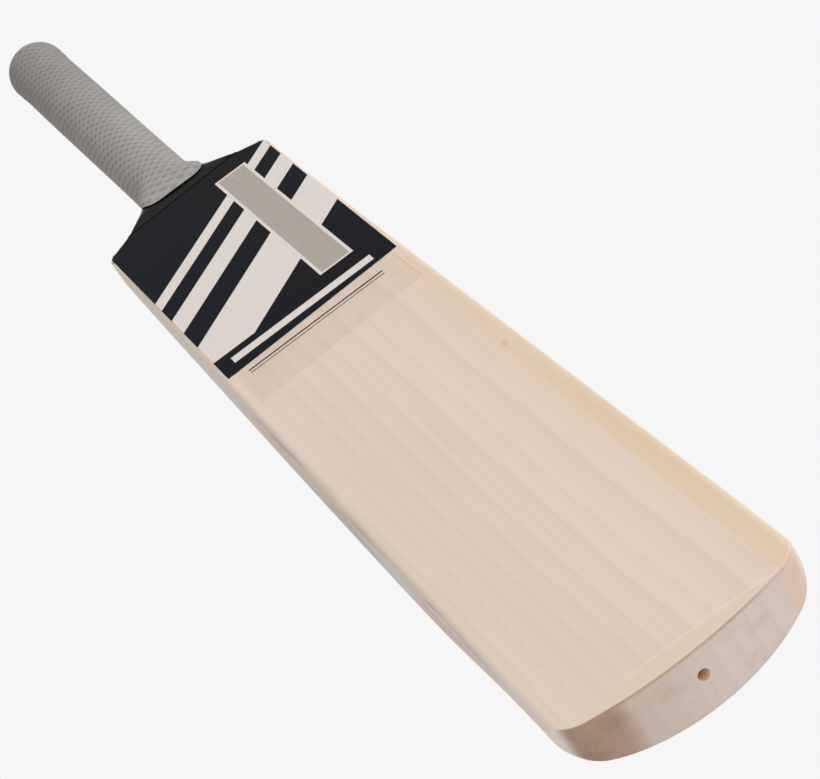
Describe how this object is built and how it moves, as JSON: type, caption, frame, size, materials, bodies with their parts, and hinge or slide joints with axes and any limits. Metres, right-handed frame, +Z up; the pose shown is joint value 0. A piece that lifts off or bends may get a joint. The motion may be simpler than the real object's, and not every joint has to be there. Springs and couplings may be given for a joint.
{
  "type": "cricket bat",
  "caption": "Full-size cricket bat: willow blade with a spliced cane handle, rubber grip, black shoulder wrap and a plain navy face label.",
  "frame": {"origin": "on the handle's axis, on the grip, where the bat is held", "axes": "+Z up the handle, away from the toe; the hitting face looks along -Y; X is across the blade"},
  "size_m": [0.108, 0.0665, 0.851],
  "materials": {
    "willow": "satin",
    "cane": "satin",
    "spring_rubber": "matte",
    "glue": "satin",
    "twine": "waxed",
    "grip_rubber": "matte",
    "wrap_tape": "gloss",
    "label_vinyl": "gloss",
    "clear_film": "satin"
  },
  "bodies": {
    "root": {"blade": "willow", "cane_1_1": "cane", "cane_1_2": "cane", "cane_1_3": "cane", "cane_2_1": "cane", "cane_2_2": "cane", "cane_2_3": "cane", "cane_3_1": "cane", "cane_3_2": "cane", "cane_3_3": "cane", "cane_4_1": "cane", "cane_4_2": "cane", "cane_4_3": "cane", "rubber_spring_1": "spring_rubber", "rubber_spring_2": "spring_rubber", "rubber_spring_3": "spring_rubber", "splice_glue": "glue", "handle_binding": "twine", "grip": "grip_rubber", "shoulder_wrap": "wrap_tape", "face_label": "label_vinyl", "clear_film": "clear_film"}
  },
  "joints": []
}
